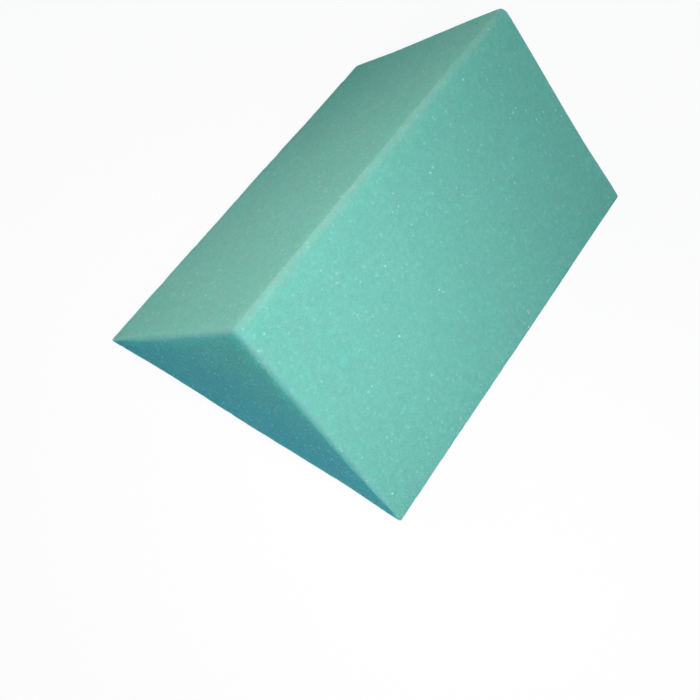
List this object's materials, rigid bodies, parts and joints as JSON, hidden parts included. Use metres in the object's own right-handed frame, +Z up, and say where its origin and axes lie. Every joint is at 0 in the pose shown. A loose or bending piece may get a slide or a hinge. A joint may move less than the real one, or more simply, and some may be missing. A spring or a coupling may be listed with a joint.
{
  "type": "triangular filter sponge",
  "caption": "Block of fine open-cell filter foam with a triangular section, bevelled to a ridge; pond or aquarium water is strained and biologically filtered as it flows through.",
  "frame": {"origin": "middle of the resting face, the widest of the three long faces", "axes": "+Z up from the resting face to the ridge, +Y along the length and the ridge, +X across to the right-hand toe"},
  "size_m": [0.1486, 0.195, 0.0786],
  "materials": {
    "filter_foam": "knife-cut open-cell polyurethane foam, matt, turquoise"
  },
  "bodies": {
    "root": {"sponge_block": "filter_foam"}
  },
  "joints": []
}
